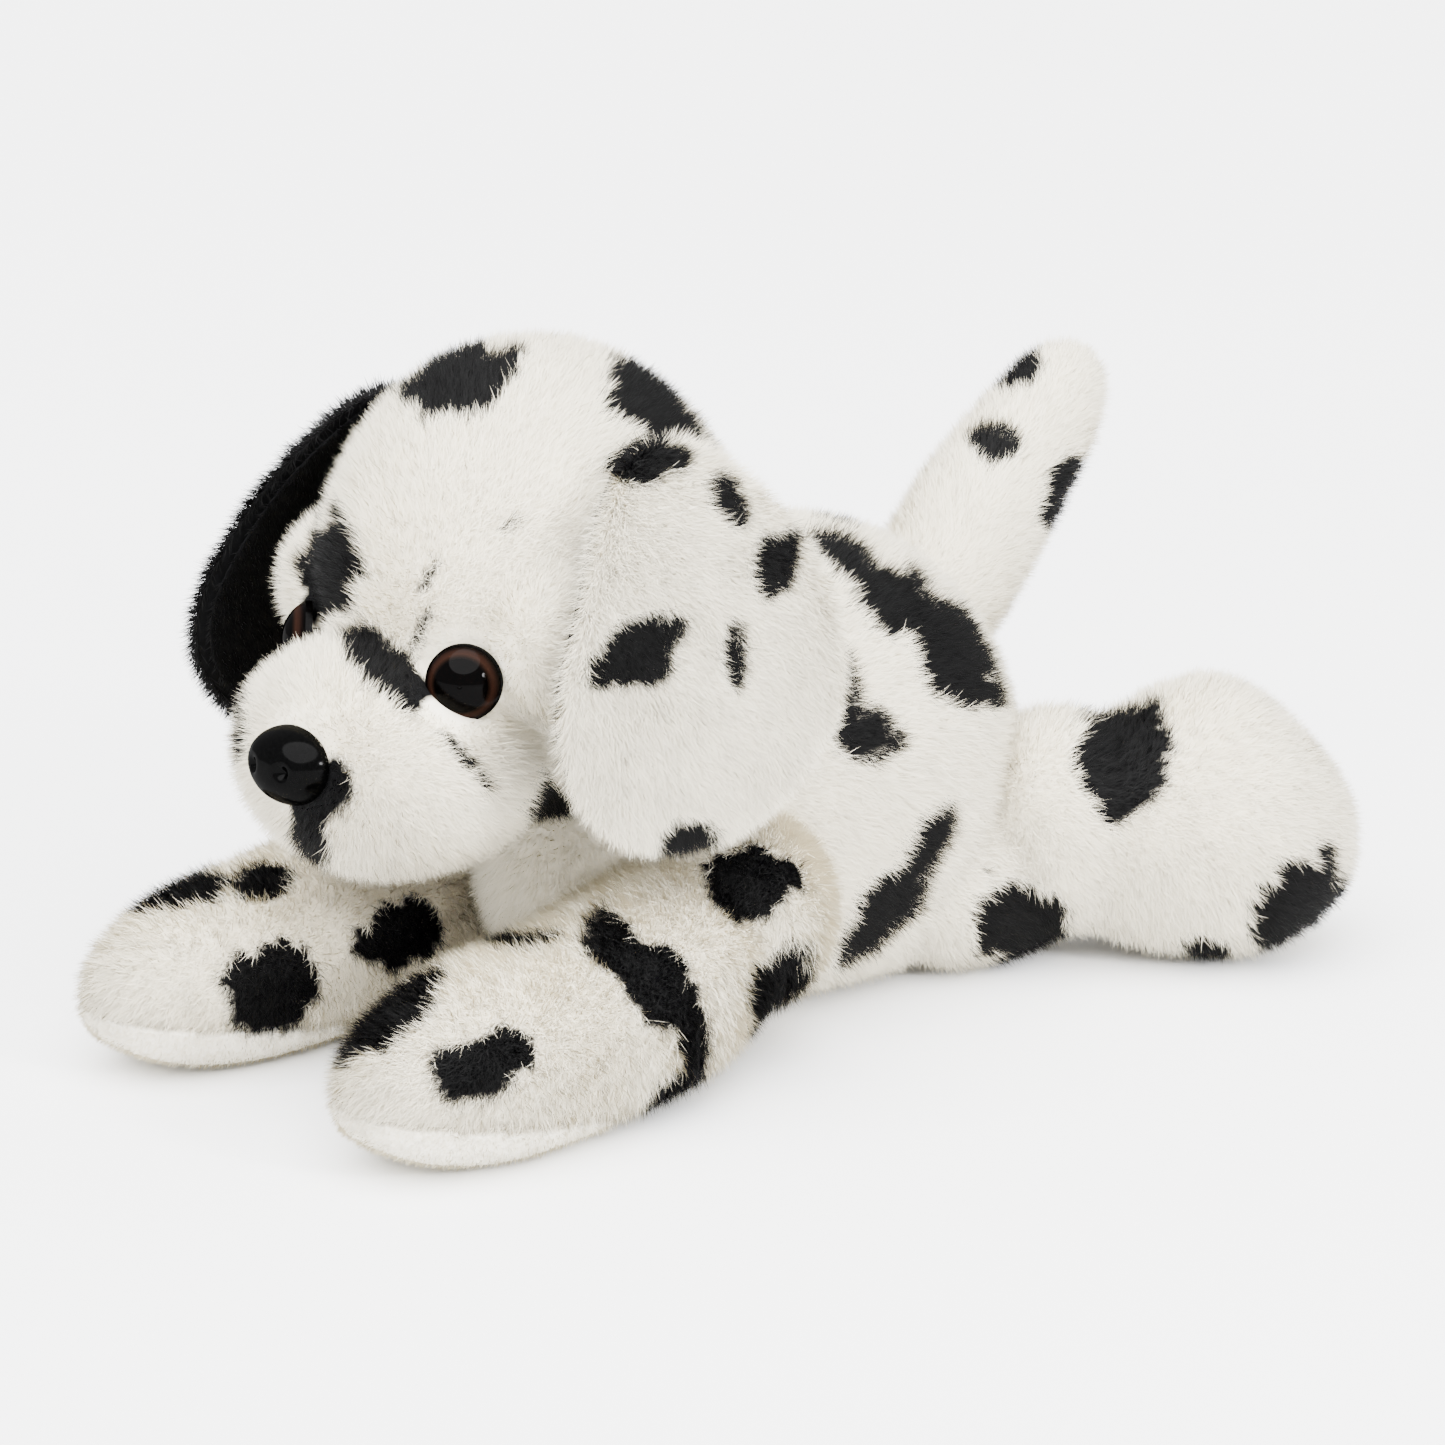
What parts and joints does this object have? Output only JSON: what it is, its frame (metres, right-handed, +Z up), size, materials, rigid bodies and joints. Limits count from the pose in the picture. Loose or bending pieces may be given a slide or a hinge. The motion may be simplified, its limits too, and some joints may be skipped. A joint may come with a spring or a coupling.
{
  "type": "plush dog",
  "caption": "Plush spotted puppy lying on its belly, with a big round head, floppy ears, raised tail, pellet-weighted legs and plastic eyes and nose.",
  "frame": {"origin": "on the floor under the middle of the belly", "axes": "+Z up, the nose points to -Y, the dog's own left is +X"},
  "size_m": [0.1402, 0.19, 0.1074],
  "materials": {
    "white_plush": "soft pile",
    "black_plush": "soft pile",
    "black_velour": "short smooth pile",
    "sole_plush": "short shiny pile",
    "fibre_filling": "loose polyester fibre",
    "pellet_pouch": "woven pouch of pellets",
    "clear_eye": "clear gloss",
    "brown_eye": "gloss",
    "black_nose": "grained gloss",
    "washer_plastic": "matt"
  },
  "bodies": {
    "body": {"body_cover": "white_plush", "body_filling": "fibre_filling", "belly_pellet_pouch": "pellet_pouch"},
    "neck": {"neck_cover": "white_plush", "neck_filling": "fibre_filling"},
    "head": {"head_cover": "white_plush", "head_filling": "fibre_filling", "left_eye_dome": "clear_eye", "left_eye_post": "brown_eye", "left_eye_washer": "washer_plastic", "right_eye_dome": "clear_eye", "right_eye_post": "brown_eye", "right_eye_washer": "washer_plastic", "nose": "black_nose", "nose_washer": "washer_plastic"},
    "left_ear": {"left_ear_outer": "white_plush", "left_ear_lining": "black_velour"},
    "right_ear": {"right_ear_outer": "black_plush", "right_ear_lining": "black_velour"},
    "tail": {"tail_cover": "white_plush", "tail_filling": "fibre_filling"},
    "left_front_leg": {"left_front_leg_cover": "white_plush", "left_front_leg_filling": "fibre_filling", "left_paw_sole": "sole_plush", "left_paw_pellet_pouch": "pellet_pouch"},
    "left_hind_leg": {"left_hind_leg_cover": "white_plush", "left_hind_leg_filling": "fibre_filling", "left_hind_pellet_pouch": "pellet_pouch"},
    "right_front_leg": {"right_front_leg_cover": "white_plush", "right_front_leg_filling": "fibre_filling", "right_paw_sole": "sole_plush", "right_paw_pellet_pouch": "pellet_pouch"},
    "right_hind_leg": {"right_hind_leg_cover": "white_plush", "right_hind_leg_filling": "fibre_filling", "right_hind_pellet_pouch": "pellet_pouch"}
  },
  "joints": [
    {"name": "neck_turn", "type": "hinge", "parent": "body", "child": "neck", "pos_m": [0, -0.028, 0.049], "axis": [0, 0, 1], "range_deg": [-12, 12], "stiffness_Nm_per_rad": 0.6},
    {"name": "head_nod", "type": "hinge", "parent": "neck", "child": "head", "pos_m": [0, -0.028, 0.049], "axis": [1, 0, 0], "range_deg": [-8, 4], "stiffness_Nm_per_rad": 0.8},
    {"name": "left_ear_lift", "type": "hinge", "parent": "head", "child": "left_ear", "pos_m": [0.027, -0.042, 0.096], "axis": [0, -1, 0], "range_deg": [0, 35], "stiffness_Nm_per_rad": 0.03},
    {"name": "right_ear_lift", "type": "hinge", "parent": "head", "child": "right_ear", "pos_m": [-0.027, -0.042, 0.096], "axis": [0, 1, 0], "range_deg": [0, 35], "stiffness_Nm_per_rad": 0.03},
    {"name": "tail_wag", "type": "hinge", "parent": "body", "child": "tail", "pos_m": [0, 0.05, 0.054], "axis": [0, 0, 1], "range_deg": [-18, 18], "stiffness_Nm_per_rad": 0.08},
    {"name": "left_front_leg_swing", "type": "hinge", "parent": "body", "child": "left_front_leg", "pos_m": [0.027, -0.025, 0.022], "axis": [0, 0, 1], "range_deg": [-5, 14], "stiffness_Nm_per_rad": 0.3},
    {"name": "right_front_leg_swing", "type": "hinge", "parent": "body", "child": "right_front_leg", "pos_m": [-0.027, -0.025, 0.022], "axis": [0, 0, -1], "range_deg": [-5, 14], "stiffness_Nm_per_rad": 0.3},
    {"name": "left_hind_leg_swing", "type": "hinge", "parent": "body", "child": "left_hind_leg", "pos_m": [0.031, 0.044, 0.022], "axis": [0, 0, -1], "range_deg": [-12, 12], "stiffness_Nm_per_rad": 0.3},
    {"name": "right_hind_leg_swing", "type": "hinge", "parent": "body", "child": "right_hind_leg", "pos_m": [-0.031, 0.044, 0.022], "axis": [0, 0, 1], "range_deg": [-12, 12], "stiffness_Nm_per_rad": 0.3}
  ]
}
